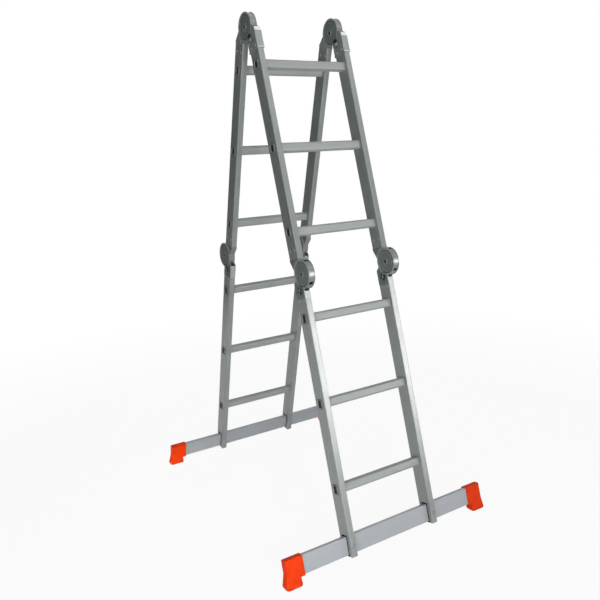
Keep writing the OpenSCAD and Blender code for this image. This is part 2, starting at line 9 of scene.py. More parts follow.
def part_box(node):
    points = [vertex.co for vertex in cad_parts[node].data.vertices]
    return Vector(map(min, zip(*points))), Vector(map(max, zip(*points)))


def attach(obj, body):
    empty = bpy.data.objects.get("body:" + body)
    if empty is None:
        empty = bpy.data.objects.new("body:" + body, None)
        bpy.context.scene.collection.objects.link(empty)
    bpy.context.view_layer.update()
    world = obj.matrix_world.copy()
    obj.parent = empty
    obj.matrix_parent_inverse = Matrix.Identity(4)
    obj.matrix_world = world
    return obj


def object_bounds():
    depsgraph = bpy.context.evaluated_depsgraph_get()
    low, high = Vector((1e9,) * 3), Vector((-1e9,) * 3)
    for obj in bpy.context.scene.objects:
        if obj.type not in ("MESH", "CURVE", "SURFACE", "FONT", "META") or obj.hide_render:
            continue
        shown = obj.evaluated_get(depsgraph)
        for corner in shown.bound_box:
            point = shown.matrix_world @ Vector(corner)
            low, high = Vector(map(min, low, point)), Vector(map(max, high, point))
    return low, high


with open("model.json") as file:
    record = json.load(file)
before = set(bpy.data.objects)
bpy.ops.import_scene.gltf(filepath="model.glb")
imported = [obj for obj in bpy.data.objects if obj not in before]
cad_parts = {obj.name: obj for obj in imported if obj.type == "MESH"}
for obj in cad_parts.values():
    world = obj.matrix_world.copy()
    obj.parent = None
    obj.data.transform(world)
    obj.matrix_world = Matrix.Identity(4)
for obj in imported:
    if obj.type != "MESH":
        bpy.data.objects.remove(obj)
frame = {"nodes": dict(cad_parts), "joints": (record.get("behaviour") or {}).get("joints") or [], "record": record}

CAD_LOW, CAD_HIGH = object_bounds()
NODES = frame["nodes"]
RECORD = frame["record"]
BODY_OF = {n: b for b, names in RECORD["behaviour"]["bodies"].items() for n in names}
SLOT_OF = {p["node"]: p["material_slot"] for p in RECORD["subparts"]}
JOINTS = {j["name"]: j for j in frame["joints"]}
SECTIONS = ("front_upper", "front_lower", "rear_upper", "rear_lower")
# Each hinge with the section of its forked brackets and the section of its tongues
HINGES = {
    "top": ("front_upper", "rear_upper"),
    "front_knee": ("front_lower", "front_upper"),
    "rear_knee": ("rear_lower", "rear_upper"),
}
SIDES = ("left", "right")
RUNGS = (1, 2, 3)
X_AXIS = Vector((1, 0, 0))
Y_AXIS = Vector((0, 1, 0))
Z_AXIS = Vector((0, 0, 1))
MM = 0.001
# Corners this near to a plane count as on it
ON_PLANE = 0.05 * MM


def rgb(r, g, b):
    """Screen colour, 0 to 255, as the linear colour that a shader takes."""
    def linear(v):
        v /= 255
        return v / 12.92 if v <= 0.04045 else ((v + 0.055) / 1.055) ** 2.4
    return (linear(r), linear(g), linear(b), 1.0)


# Detail pieces
BEAD_AT = 52.4 * MM
BEAD_R = 0.8 * MM
BEAD_TURN = (4, 57)
BEAD_STEPS = 24
ROLL_R = 1.2 * MM
ROLL_IN = 3.3 * MM
ROLL_CORNER = 6.0 * MM
# Black plugs in the rung ends, dark pieces standing in for the shade inside the tubes
PLUG_IN = 4.5 * MM
PLUG_CORNER = 4.8 * MM
PLUG_SUNK = 3.0 * MM
PLUG_T = 2.0 * MM
PLUG_BOSS = 0.55
# Covers on the knees' finger tabs, whose bare slits of black tab are painted shade
TAB_GAP = 0.6 * MM
TAB_RISE = 1.1 * MM
TAB_BAR = 1.7 * MM
TAB_CORNER = 1.8 * MM
SPINE_PART = 0.28
SPINE_CORNER = 2.5 * MM
CAP_PART = 0.5
RING_PARTS = (0.30, 0.72)
# Half width of a fork over its plates, as a part of that over their raised rims
RING_FACE = 11.0 / 11.8
RING_R = 0.45 * MM
RING_TURN = (0, 354)
RING_STEPS = 59
RING_SIDES = 8
# Black block in each fork's mouth, standing in for the shade there
MOUTH = (49.0 * MM, 53.6 * MM)
MOUTH_DEEP = 9.0 * MM
MOUTH_BACK = 0.5 * MM
MOUTH_IN = 2.6 * MM
MOUTH_CORNER = 1.2 * MM
LIP_R = 1.6 * MM
LIP_CORNER = 2.0 * MM
EDGE = 0.6 * MM

# Where the hinges' paint changes, as distances from the pivot
PIN_EYE = 4.6 * MM
# Painted shade of a groove and painted highlight of a rim on the hinge plates
GROOVE_SHADE = (37.5 * MM, 40.5 * MM)
RIM_HIGHLIGHT = (41.5 * MM, 47.0 * MM)
DISC_INSIDE = 45.2 * MM
BARE_EDGE = (45.4 * MM, 48.6 * MM)
BODY_FROM = 50.0 * MM
WEAR_TO = 76.0 * MM
# Widths over which one tone passes into the next
RING_FADE = 0.2 * MM
INSIDE_FADE = 0.3 * MM
BODY_FADE = 4.0 * MM
WEAR_FADE = 8.0 * MM
BEAD_FADE = 0.5 * MM
END_SHADE_FADE = 1.0 * MM
BAR_SHADOW_FADE = 0.5 * MM
DUST_HIGH = 9.0 * MM
# Width of the painted shadow round the bars in the stiles
BAR_SHADOW_WIDTH = 4.5 * MM
# Radius of the edges that wear, and the cosine of the soft normal's lean at full wear and at none
WEAR_R = 1.2 * MM
WEAR_LEAN = (0.80, 0.985)
# Share of the normal along X between faces square to the plates and the plates' own faces
FACE_LEAN = (0.4, 0.6)
BEVEL_SAMPLES = 4
BUMP_STRENGTH = 0.6
# How far bands and patches show in the metal and the paint
BAND_SHARES = (0.25, 0.75)
METAL_PATCHES = 0.22
PAINT_PATCHES = 0.25
# Roughness at both ends of a material's grain
PAINT_ROUGH = (0.25, 0.37)
BEAD_ROUGH = (0.30, 0.42)
ZINC_ROUGH = (0.26, 0.42)
NYLON_ROUGH = (0.42, 0.58)
RUBBER_ROUGH = (0.44, 0.6)
# What smudges and fine lines add to the roughness of drawn metal
SMUDGE_ROUGH = (0.05, -0.04)
LINE_ROUGH = (-0.04, 0.04)

# Tones of the materials
STILE_TONES = (rgb(126, 132, 130), rgb(138, 144, 142))
RUNG_TONES = (rgb(146, 150, 149), rgb(161, 165, 163))
BAR_TONES = (rgb(157, 161, 165), rgb(170, 174, 178))
# Painted shade in the rungs' open ends
END_SHADE_TONE = rgb(96, 101, 100)
# Painted shadow in the gap round the stabiliser bars
GAP_SHADOW_TONE = rgb(18, 19, 19)
PAINT = rgb(110, 119, 116)
PAINT_PATCH = rgb(84, 92, 89)
# Painted shade of the plates' groove and painted highlight of their rim
GROOVE_SHADE_TONE = rgb(66, 72, 70)
RIM_HIGHLIGHT_TONE = rgb(140, 148, 145)
PAINT_WORN = rgb(184, 190, 187)
PAINT_BARE = rgb(120, 124, 122)
# Painted shade in the pins' hollow eyes
EYE_SHADE_TONE = rgb(26, 28, 28)
# Painted shade on the tongues' discs between the plates
INSIDE_SHADE_TONE = rgb(14, 15, 15)
PAINT_GLOSS = 0.75
EYE_GLOSS = 0.05
BARE_METALLIC = 0.2
# Tone of each hinge's brackets beyond the disc, lighter on the top hinge as painted light, and a paler tone
# between two distances on their fronts and backs: a painted highlight, which on the knees also stands for bare
# metal
BODY_TONE_AND_LIGHT = {
    "top": (rgb(140, 149, 146), (64.0 * MM, 72.0 * MM), rgb(226, 229, 228)),
    "front_knee": (rgb(104, 112, 109), (50.0 * MM, 105.0 * MM), rgb(154, 160, 158)),
    "rear_knee": (rgb(104, 112, 109), (50.0 * MM, 105.0 * MM), rgb(154, 160, 158)),
}
# Painted highlight on the front and back of the top sleeves' beads
BEAD_HIGHLIGHT_TONES = (rgb(216, 220, 218), rgb(236, 239, 238))
BEAD_SIDE = rgb(110, 118, 115)
ZINC_TONES = (rgb(138, 142, 142), rgb(176, 178, 176))
NYLON_TONES = (rgb(22, 24, 24), rgb(34, 37, 37))
RUBBER_TONES = (rgb(228, 58, 10), rgb(237, 64, 11))
RUBBER_DUST = rgb(176, 74, 46)
DUST_SHARE = 0.35
CLOTH_TONES = (rgb(84, 84, 84), rgb(98, 98, 98))
PAPER_TONES = ((0.82, 0.82, 0.82, 1), (0.84, 0.84, 0.84, 1))
WHITE = (1, 1, 1, 1)

# The photograph's view
PHOTO_PX = 600
FOCAL_PX = 641.8
CAMERA_AT = (-1.2114, -2.0269, 1.2878)
CAMERA_YAW = -30.502
CAMERA_PITCH = -12.729
CAMERA_ROLL = -2.712
SENSOR_MM = 36

# Studio light
AMBIENT = 0.08
FLAG = dict(at=(-1.55, 2.75, 1.55), size=(4.2, 3.0))
# Starts of the names of the nodes that the low softbox lights
SOFTBOX_NODES = ("front_lower", "front_knee", "front_upper_rung", "front_stabiliser", "front_boot",
                 "rear_upper_rung", "rear_lower_rung")
LAMPS = {
    "low_softbox": dict(at=(1.73, -2.90, 1.00), aim=(0.0, -0.37, 0.70), size=(1.3, 1.2), power=65,
                        gloss_only=True, lights=SOFTBOX_NODES),
    "front_key": dict(at=(-0.50, -3.10, 0.95), aim=(0.0, -0.37, 0.70), size=(1.3, 1.2), power=40),
    "left_fill": dict(at=(-2.10, -2.20, 1.00), aim=(0.0, 0.0, 1.0), size=(1.2, 1.0), power=18),
    "floor_kicker": dict(at=(-1.70, -1.50, 0.14), aim=(-0.4, 0.10, 0.05), size=(0.6, 0.15), power=1.8,
                         spread=60),
    "boot_kicker": dict(at=(-1.50, -0.50, 0.20), aim=(-0.42, 0.50, 0.04), size=(0.2, 0.1), power=0.045,
                        spread=10),
    "upper_key": dict(at=(-0.60, -2.60, 2.30), aim=(0.0, -0.05, 1.65), size=(0.8, 0.8), power=1.7,
                      spread=50),
    "high_softbox": dict(at=(1.60, -1.90, 3.60), aim=(0.0, -0.1, 0.9), size=(1.2, 1.2), power=8),
    "back_fill": dict(at=(1.60, 3.00, 1.50), aim=(0.0, 0.0, 0.8), size=(1.6, 1.6), power=26),
    "overhead": dict(at=(-0.2, 0.3, 4.60), aim=(0.0, 0.0, 0.0), size=(3.0, 3.0), power=26),
}
FULL_SPREAD = 180
FLOOR_HALF = 60
FLOOR_SHADOW = 0.07
SHADOW_REACH = 3.0


# Places and directions from the frame

def centre(node):
    low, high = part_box(node)
    return (low + high) / 2


def down_of(section):
    """Direction down the stiles of a section."""
    return (centre(section + "_rung_3") - centre(section + "_rung_1")).normalized()


def out_of(section):
    """Direction square to the section's face, away from the middle of the ladder."""
    across = down_of(section).cross(X_AXIS)
    return across if across.y * centre(section + "_rung_1").y > 0 else -across


def turn_of(section):
    """Turn about X from upright to the section's lean."""
    down = down_of(section)
    return math.atan2(down.y, -down.z)


def pivot_of(hinge):
    return Vector(JOINTS[hinge + "_fold"]["pos_m"])


def hinge_axes(hinge, section):
    """Pivot of a hinge, the way along the section's stile and the way to the stile's middle."""
    pivot = pivot_of(hinge)
    reach = centre(section + "_rung_2") - pivot
    reach.x = 0
    along = down_of(section)
    if reach.dot(along) < 0:
        along = -along
    return pivot, along, (reach - along * reach.dot(along)).normalized()


def side_faces(node):
    """Sign and x of the left and right ends of a CAD node."""
    low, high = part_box(node)
    return (-1, low.x), (1, high.x)


def face_points(node, x):
    """Corners of a CAD node that lie on the plane at x."""
    return [v.co.copy() for v in NODES[node].data.vertices if abs(v.co.x - x) < ON_PLANE]


def spread(points, way):
    """Middle and half of the points' reach along a direction."""
    reach = [p.dot(way) for p in points]
    return (max(reach) + min(reach)) / 2, (max(reach) - min(reach)) / 2


def face_frame(node, x, u, v):
    """Middle of a node's flat face at x, and half of its reach along u and along v."""
    points = face_points(node, x)
    (at_u, half_u), (at_v, half_v) = spread(points, u), spread(points, v)
    return X_AXIS * x + u * at_u + v * at_v, half_u, half_v


# Shader building

def add(tree, kind, inputs=(), **settings):
    node = tree.nodes.new(kind)
    for key, value in settings.items():
        setattr(node, key, value)
    for key, value in dict(inputs).items():
        if isinstance(value, bpy.types.NodeSocket):
            tree.links.new(value, node.inputs[key])
        else:
            node.inputs[key].default_value = value
    return node


def calc(tree, operation, *values):
    return add(tree, "ShaderNodeMath", dict(enumerate(values)), operation=operation).outputs[0]


def calc_vector(tree, operation, *values):
    return add(tree, "ShaderNodeVectorMath", dict(enumerate(values)), operation=operation).outputs


def along_axis(tree, vector, axis):
    return add(tree, "ShaderNodeSeparateXYZ", {0: vector}).outputs[axis]


def new_material(name, rough, metallic=0.0, specular=0.5):
    mat = bpy.data.materials.new(name)
    mat.use_nodes = True
    shader = mat.node_tree.nodes["Principled BSDF"]
    shader.inputs["Roughness"].default_value = rough
    shader.inputs["Metallic"].default_value = metallic
    shader.inputs["Specular IOR Level"].default_value = specular
    return mat, mat.node_tree, shader


def connect(tree, shader, tone, rough, normal):
    for key, value in (("Base Color", tone), ("Roughness", rough), ("Normal", normal)):
        tree.links.new(value, shader.inputs[key])


def place(tree):
    return add(tree, "ShaderNodeTexCoord").outputs["Object"]


def coords(tree, turn=0.0, stretch=(1, 1, 1)):
    """Object coordinates turned about X, then drawn out along the axes."""
    return add(tree, "ShaderNodeMapping", {
        "Vector": place(tree), "Rotation": (turn, 0, 0), "Scale": stretch,
    }, vector_type="TEXTURE").outputs[0]


def noise(tree, where, scale, detail=3.0, rough=0.55):
    return add(tree, "ShaderNodeTexNoise", {
        "Vector": where, "Scale": scale, "Detail": detail, "Roughness": rough,
    }).outputs["Fac"]


def span(tree, value, low, high, start=0.3, end=0.7):
    """The value drawn from its span between start and end onto low to high."""
    return add(tree, "ShaderNodeMapRange", {
        "Value": value, "From Min": start, "From Max": end, "To Min": low, "To Max": high,
    }).outputs["Result"]


def blend(tree, fac, a, b):
    mix = add(tree, "ShaderNodeMix", data_type="RGBA")
    for key, value in ((0, fac), (6, a), (7, b)):
        if isinstance(value, bpy.types.NodeSocket):
            tree.links.new(value, mix.inputs[key])
        else:
            mix.inputs[key].default_value = value
    return mix.outputs[2]


def mottle(tree, grain, tones):
    """One tone passing into another with the grain."""
    return blend(tree, span(tree, grain, 0.0, 1.0), *tones)


def rounded_bump(tree, height, distance, radius):
    """Surface normal with softened edges and a fine relief."""
    soft = add(tree, "ShaderNodeBevel", {"Radius": radius}, samples=BEVEL_SAMPLES)
    return add(tree, "ShaderNodeBump", {
        "Height": height, "Distance": distance, "Strength": BUMP_STRENGTH, "Normal": soft.outputs[0],
    }).outputs[0]


def edge_wear(tree, radius):
    """One along convex and concave edges, nought on open faces."""
    soft = add(tree, "ShaderNodeBevel", {"Radius": radius}, samples=BEVEL_SAMPLES)
    flat = add(tree, "ShaderNodeNewGeometry")
    lean = calc_vector(tree, "DOT_PRODUCT", soft.outputs[0], flat.outputs["Normal"])["Value"]
    return span(tree, lean, 1.0, 0.0, *WEAR_LEAN)


# Materials

def bar_gap_shadow(tree, section):
    """Mask of the painted shadow: one over the stabiliser bar of a section and a narrow frame round it, nought
    elsewhere.
    """
    bar = section.split("_")[0] + "_stabiliser_bar"
    points = [v.co.copy() for v in NODES[bar].data.vertices]
    where = place(tree)
    past = []
    for way in (out_of(section), down_of(section)):
        at, half = spread(points, way)
        reach = calc_vector(tree, "DOT_PRODUCT", where, way)["Value"]
        off = calc(tree, "ABSOLUTE", calc(tree, "SUBTRACT", reach, at))
        past.append(calc(tree, "SUBTRACT", off, half))
    far = calc(tree, "MAXIMUM", *past)
    return span(tree, far, 1.0, 0.0, BAR_SHADOW_WIDTH, BAR_SHADOW_WIDTH + BAR_SHADOW_FADE)


def drawn_metal(name, tones, rough, metallic, specular, turn=0.0, grain=(1, 1, 1), shade_past=None,
                holed=None):
    """Extruded aluminium: fine lines along the profile, faint patches and dull smudges.

    Past the given distance from the ladder's middle, the metal is painted darker, as painted shade in the rungs'
    open ends.
    For the section in holed, a painted shadow darkens the gap round its stabiliser bar and a narrow frame round
    it, and takes away the gloss there.
    """
    mat, tree, shader = new_material(name, rough, metallic, specular)
    along = coords(tree, turn, grain)
    lines = noise(tree, along, scale=900, detail=2.0)
    bands = noise(tree, along, scale=120, detail=3.0)
    patch = noise(tree, coords(tree), scale=7, detail=4.0)
    tone = blend(tree, span(tree, bands, *BAND_SHARES), *tones)
    tone = blend(tree, span(tree, patch, 0.0, METAL_PATCHES), tone, tones[0])
    # Painted shade in the open ends, past the given distance
    if shade_past:
        reach = calc(tree, "ABSOLUTE", along_axis(tree, coords(tree), "X"))
        tone = blend(tree, span(tree, reach, 0.0, 1.0, shade_past, shade_past + END_SHADE_FADE), tone, END_SHADE_TONE)
    # Painted shadow in the gap round the stabiliser bar, without gloss
    if holed:
        gap = bar_gap_shadow(tree, holed)
        tone = blend(tree, gap, tone, GAP_SHADOW_TONE)
        tree.links.new(span(tree, gap, specular, 0.0, 0.0, 1.0), shader.inputs["Specular IOR Level"])
    smudge = span(tree, patch, *(rough + more for more in SMUDGE_ROUGH))
    fine = calc(tree, "ADD", smudge, span(tree, lines, *LINE_ROUGH))
    connect(tree, shader, tone, fine, rounded_bump(tree, lines, distance=0.02 * MM, radius=0.6 * MM))
    return mat


def disc_reach(tree, pivot):
    """Distance from the hinge's axis."""
    reach = calc_vector(tree, "SUBTRACT", place(tree), pivot)[0]
    flat = calc_vector(tree, "MULTIPLY", reach, (0, 1, 1))[0]
    return calc_vector(tree, "LENGTH", flat)["Value"]


def disc_edge(tree, far, start, end, flat=0.0):
    """One between two distances on faces square to the hinge's plates, nought elsewhere.

    With flat at one, it is the plates' own faces that count.
    """
    normal = add(tree, "ShaderNodeNewGeometry").outputs["True Normal"]
    side = calc(tree, "ABSOLUTE", along_axis(tree, normal, "X"))
    upright = span(tree, side, 1.0 - flat, flat, *FACE_LEAN)
    beyond = span(tree, far, 0.0, 1.0, start, start + RING_FADE)
    within = span(tree, far, 1.0, 0.0, end, end + RING_FADE)
    return calc(tree, "MULTIPLY", calc(tree, "MULTIPLY", beyond, within), upright)


def plate_shade_and_highlight(tree, far, tone):
    """Painted shade in a groove and a painted highlight on a rim, on the faces of the hinge plates."""
    tone = blend(tree, disc_edge(tree, far, *GROOVE_SHADE, flat=1.0), tone, GROOVE_SHADE_TONE)
    return blend(tree, disc_edge(tree, far, *RIM_HIGHLIGHT, flat=1.0), tone, RIM_HIGHLIGHT_TONE)


def cast_paint(name, pivot, body, bare_and_sheen_band=None, bare_and_sheen_tone=None, shaded_inside=False):
    """Die-cast hinge: grey-green paint with a pebbled skin, worn to bare metal on its rolling edge.

    Beyond the disc the paint has the tone of body. On faces square to the plates it takes a second, paler tone
    between two given distances: a painted highlight, which on the knees also stands for bare metal.
    With the last flag, what lies inside the disc's edge is painted black, as shade on the tongue's disc between
    the fork's plates.
    """
    mat, tree, shader = new_material(name, rough=0.30)
    where = coords(tree)
    patch = noise(tree, where, scale=30, detail=4.0)
    pebble = noise(tree, where, scale=900, detail=3.0)
    far = disc_reach(tree, pivot)
    bare = disc_edge(tree, far, *BARE_EDGE)
    tone = blend(tree, span(tree, far, 0.0, 1.0, BODY_FROM, BODY_FROM + BODY_FADE), PAINT, body)
    tone = blend(tree, span(tree, patch, 0.0, PAINT_PATCHES), tone, PAINT_PATCH)
    near = span(tree, far, 1.0, 0.0, WEAR_TO, WEAR_TO + WEAR_FADE)
    wear = calc(tree, "MULTIPLY", edge_wear(tree, WEAR_R), near)
    # Painted shade in the plates' groove and painted highlight on their rim
    tone = blend(tree, wear, plate_shade_and_highlight(tree, far, tone), PAINT_WORN)
    # Painted shade in the hollow eye of the pin, with its gloss taken away
    eye = span(tree, far, 1.0, 0.0, PIN_EYE, PIN_EYE + INSIDE_FADE)
    tone = blend(tree, eye, tone, EYE_SHADE_TONE)
    tree.links.new(span(tree, eye, PAINT_GLOSS, EYE_GLOSS, 0.0, 1.0), shader.inputs["Specular IOR Level"])
    tone = blend(tree, bare, tone, PAINT_BARE)
    tree.links.new(span(tree, bare, 0.0, BARE_METALLIC, 0.0, 1.0), shader.inputs["Metallic"])
    # Paler band on fronts and backs: painted highlight, and bare metal on the knees
    if bare_and_sheen_band:
        tone = blend(tree, disc_edge(tree, far, *bare_and_sheen_band), tone, bare_and_sheen_tone)
    # Painted shade: black inside the disc's edge
    if shaded_inside:
        inside = span(tree, far, 1.0, 0.0, DISC_INSIDE, DISC_INSIDE + INSIDE_FADE)
        tone = blend(tree, inside, tone, INSIDE_SHADE_TONE)
    connect(tree, shader, tone, span(tree, pebble, *PAINT_ROUGH),
            rounded_bump(tree, pebble, distance=0.04 * MM, radius=0.9 * MM))
    return mat


def highlight_bead(name, fork):
    """Rolled bead of a sleeve, painted bright on its front and back as a highlight and painted grey on its sides.
    """
    mat, tree, shader = new_material(name, rough=0.35, metallic=0.1)
    where = coords(tree)
    spangle = noise(tree, where, scale=260, detail=3.0)
    low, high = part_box(fork)
    off = calc(tree, "SUBTRACT", along_axis(tree, where, "X"), centre(fork).x)
    reach = calc(tree, "ABSOLUTE", off)
    half = (high.x - low.x) / 2 - LIP_R
    side = span(tree, reach, 0.0, 1.0, half - BEAD_FADE, half)
    # Painted highlight on the front and back, grey on the sides
    tone = blend(tree, side, mottle(tree, spangle, BEAD_HIGHLIGHT_TONES), BEAD_SIDE)
    connect(tree, shader, tone, span(tree, spangle, *BEAD_ROUGH),
            rounded_bump(tree, spangle, distance=0.03 * MM, radius=0.3 * MM))
    return mat


def plated_steel(name):
    """Zinc plate on springs and tongue beads: mottled, a little dull."""
    mat, tree, shader = new_material(name, rough=0.32, metallic=0.85)
    spangle = noise(tree, coords(tree), scale=260, detail=3.0)
    connect(tree, shader, mottle(tree, spangle, ZINC_TONES), span(tree, spangle, *ZINC_ROUGH),
            rounded_bump(tree, spangle, distance=0.03 * MM, radius=0.5 * MM))
    return mat


def black_nylon(name):
    """Moulded nylon of the locks, and of the dark plugs in the rung ends and blocks in the forks' mouths, which
    stand in for the shade there.
    """
    mat, tree, shader = new_material(name, rough=0.5, specular=0.3)
    where = coords(tree)
    spark = noise(tree, where, scale=1400, detail=2.0)
    cloud = noise(tree, where, scale=60, detail=3.0)
    connect(tree, shader, mottle(tree, cloud, NYLON_TONES), span(tree, spark, *NYLON_ROUGH),
            rounded_bump(tree, spark, distance=0.06 * MM, radius=0.7 * MM))
    return mat


def boot_rubber(name):
    """Orange rubber with a fine moulded skin and a dusty foot."""
    mat, tree, shader = new_material(name, rough=0.5, specular=0.06)
    where = coords(tree)
    cloud = noise(tree, where, scale=45, detail=4.0)
    skin = noise(tree, where, scale=1200, detail=3.0)
    dust = span(tree, along_axis(tree, where, "Z"), DUST_SHARE, 0.0, 0.0, DUST_HIGH)
    tone = blend(tree, dust, mottle(tree, cloud, RUBBER_TONES), RUBBER_DUST)
    connect(tree, shader, tone, span(tree, skin, *RUBBER_ROUGH),
            rounded_bump(tree, skin, distance=0.06 * MM, radius=2.5 * MM))
    return mat


def make_materials():
    """Materials by the record's slots, and one for each top bead, hinge, tongue and section."""
    mats = {
        "rung": drawn_metal("rung_aluminium", RUNG_TONES, rough=0.55, metallic=0.1, specular=0.2,
                            grain=(60, 1, 1), shade_past=centre("front_upper_stile_right").x),
        "bar": drawn_metal("bar_aluminium", BAR_TONES, rough=0.5, metallic=0.1, specular=0.25,
                           grain=(80, 1, 1)),
        "spring": plated_steel("spring_wire"),
        "lock": black_nylon("lock_nylon"),
        "boot": boot_rubber("boot_rubber"),
        "bright": plated_steel("rubbed_edge"),
    }
    for side in SIDES:
        mats["bead_" + side] = highlight_bead("bead_" + side, "top_fork_" + side)
    for hinge, (body, bare_and_sheen_band, bare_and_sheen_tone) in BODY_TONE_AND_LIGHT.items():
        pivot = pivot_of(hinge)
        mats[hinge] = cast_paint(hinge + "_paint", pivot, body, bare_and_sheen_band, bare_and_sheen_tone)
        mats[hinge + "_tongue"] = cast_paint(hinge + "_tongue_paint", pivot, body, shaded_inside=True)
    for section in SECTIONS:
        mats[section] = drawn_metal(section + "_aluminium", STILE_TONES, rough=0.30, metallic=0.05,
                                    specular=0.75, turn=turn_of(section), grain=(1, 1, 80),
                                    holed=section if "lower" in section else None)
    return mats


# Stage

def add_camera():
    yaw, pitch, roll = (math.radians(a) for a in (CAMERA_YAW, CAMERA_PITCH, CAMERA_ROLL))
    forward = Vector((-math.sin(yaw) * math.cos(pitch), math.cos(yaw) * math.cos(pitch), math.sin(pitch)))
    level = Vector((math.cos(yaw), math.sin(yaw), 0))
    rise = level.cross(forward)
    side = level * math.cos(roll) + rise * math.sin(roll)
    top = rise * math.cos(roll) - level * math.sin(roll)
    data = bpy.data.cameras.new("camera")
    data.sensor_width = SENSOR_MM
    data.lens = FOCAL_PX * SENSOR_MM / PHOTO_PX
    camera = bpy.data.objects.new("camera", data)
    bpy.context.scene.collection.objects.link(camera)
    turn = Matrix((side, top, -forward)).transposed().to_4x4()
    camera.matrix_world = Matrix.Translation(CAMERA_AT) @ turn
    bpy.context.scene.camera = camera


def limit_light(obj, starts):
    """Let a lamp light only the CAD nodes whose names begin with one of the starts."""
    lit = bpy.data.collections.new(obj.name + "_lights")
    for node, part in NODES.items():
        if node.startswith(starts):
            lit.objects.link(part)
    obj.light_linking.receiver_collection = lit


def add_lamps():
    for name, lamp in LAMPS.items():
        data = bpy.data.lights.new(name, "AREA")
        data.shape = "RECTANGLE"
        data.size, data.size_y = lamp["size"]
        data.energy = lamp["power"]
        data.spread = math.radians(lamp.get("spread", FULL_SPREAD))
        obj = bpy.data.objects.new(name, data)
        bpy.context.scene.collection.objects.link(obj)
        at = Vector(lamp["at"])
        obj.location = at
        obj.rotation_euler = (Vector(lamp["aim"]) - at).to_track_quat("-Z", "Y").to_euler()
        obj.visible_camera = False
        obj.visible_diffuse = not lamp.get("gloss_only", False)
        if "lights" in lamp:
            limit_light(obj, lamp["lights"])


def shows_white(tree):
    """One for rays from the camera, a glossy face or glass."""
    path = add(tree, "ShaderNodeLightPath").outputs
    seen = calc(tree, "MAXIMUM", path["Is Camera Ray"], path["Is Glossy Ray"])
    return calc(tree, "MAXIMUM", seen, path["Is Transmission Ray"])


def add_world():
    world = bpy.data.worlds.new("studio")
    bpy.context.scene.world = world
    world.use_nodes = True
    tree = world.node_tree
    sky = tree.nodes["Background"]
    sky.inputs["Color"].default_value = WHITE
    tree.links.new(span(tree, shows_white(tree), AMBIENT, 1.0, 0.0, 1.0), sky.inputs["Strength"])


def floor_material():
    """White to the camera, with the object's soft shadow near it; plain pale paper to other light."""
    mat = bpy.data.materials.new("floor_paper")
    mat.use_nodes = True
    tree = mat.node_tree
    tree.nodes.clear()
    where = coords(tree)
    tooth = noise(tree, where, scale=300, detail=2.0)
    paper = add(tree, "ShaderNodeBsdfDiffuse", {"Color": blend(tree, tooth, *PAPER_TONES)})
    white = add(tree, "ShaderNodeEmission", {"Color": WHITE, "Strength": 1.0})
    far = calc_vector(tree, "LENGTH", where)["Value"]
    plain = span(tree, far, 1 - FLOOR_SHADOW, 1.0, SHADOW_REACH / 2, SHADOW_REACH)
    fac = calc(tree, "MULTIPLY", plain, shows_white(tree))
    mix = add(tree, "ShaderNodeMixShader", {0: fac, 1: paper.outputs[0], 2: white.outputs[0]})
    add(tree, "ShaderNodeOutputMaterial", {"Surface": mix.outputs[0]})
    return mat


def flag_material():
    mat, tree, shader = new_material("flag_cloth", rough=0.9, specular=0.1)
    weave = noise(tree, coords(tree), scale=60, detail=2.0)
    tree.links.new(blend(tree, weave, *CLOTH_TONES), shader.inputs["Base Color"])
    return mat


def add_floor():
    bm = bmesh.new()
    bmesh.ops.create_grid(bm, x_segments=4, y_segments=4, size=FLOOR_HALF)
    floor = new_object("floor", bm, floor_material())
    floor.location.z = CAD_LOW.z


def add_flag():
    """Dark card behind the left of the ladder, which only the gloss on its sides shows."""
    width, height = FLAG["size"]
    bm = bmesh.new()
    bmesh.ops.create_grid(bm, x_segments=2, y_segments=2, size=0.5)
    bmesh.ops.scale(bm, vec=(width, height, 1), verts=bm.verts)
    flag = new_object("flag", bm, flag_material())
    at = Vector(FLAG["at"])
    flag.location = at
    flag.rotation_euler = (Vector((0, 0, at.z)) - at).to_track_quat("Z", "Y").to_euler()
    for kind in ("camera", "diffuse", "shadow", "transmission"):
        setattr(flag, "visible_" + kind, False)


# Pieces

def new_object(name, bm, material):
    mesh = bpy.data.meshes.new(name)
    bmesh.ops.recalc_face_normals(bm, faces=bm.faces)
    for face in bm.faces:
        face.smooth = True
    bm.to_mesh(mesh)
    bm.free()
    mesh.materials.append(material)
    obj = bpy.data.objects.new(name, mesh)
    bpy.context.scene.collection.objects.link(obj)
    return obj


def join_rings(bm, rings, closed=False):
    """Faces between rings of corners, each ring joined to the next."""
    for a, b in zip(rings, rings[1:] + rings[:1] if closed else rings[1:]):
        for k in range(len(a)):
            n = (k + 1) % len(a)
            bm.faces.new((a[k], a[n], b[n], b[k]))
    if not closed:
        bm.faces.new(rings[0])
        bm.faces.new(rings[-1])


def tube(bm, path, radius, axis, closed=True, sides=10):
    """Round bead along a path that lies square to the axis."""
    count = len(path)
    turns = [math.tau * k / sides for k in range(sides)]
    rings = []
    for i, point in enumerate(path):
        before = path[i - 1] if closed or i > 0 else point
        after = path[(i + 1) % count] if closed or i < count - 1 else point
        side = (after - before).normalized().cross(axis)
        rings.append([bm.verts.new(point + radius * (math.cos(a) * axis + math.sin(a) * side))
                      for a in turns])
    join_rings(bm, rings, closed)


def arc(middle, radius, u, v, start, end, steps):
    """Points of an arc from u towards v, its angles in degrees."""
    turns = [math.radians(start + (end - start) * k / steps) for k in range(steps + 1)]
    return [middle + radius * (math.cos(a) * u + math.sin(a) * v) for a in turns]


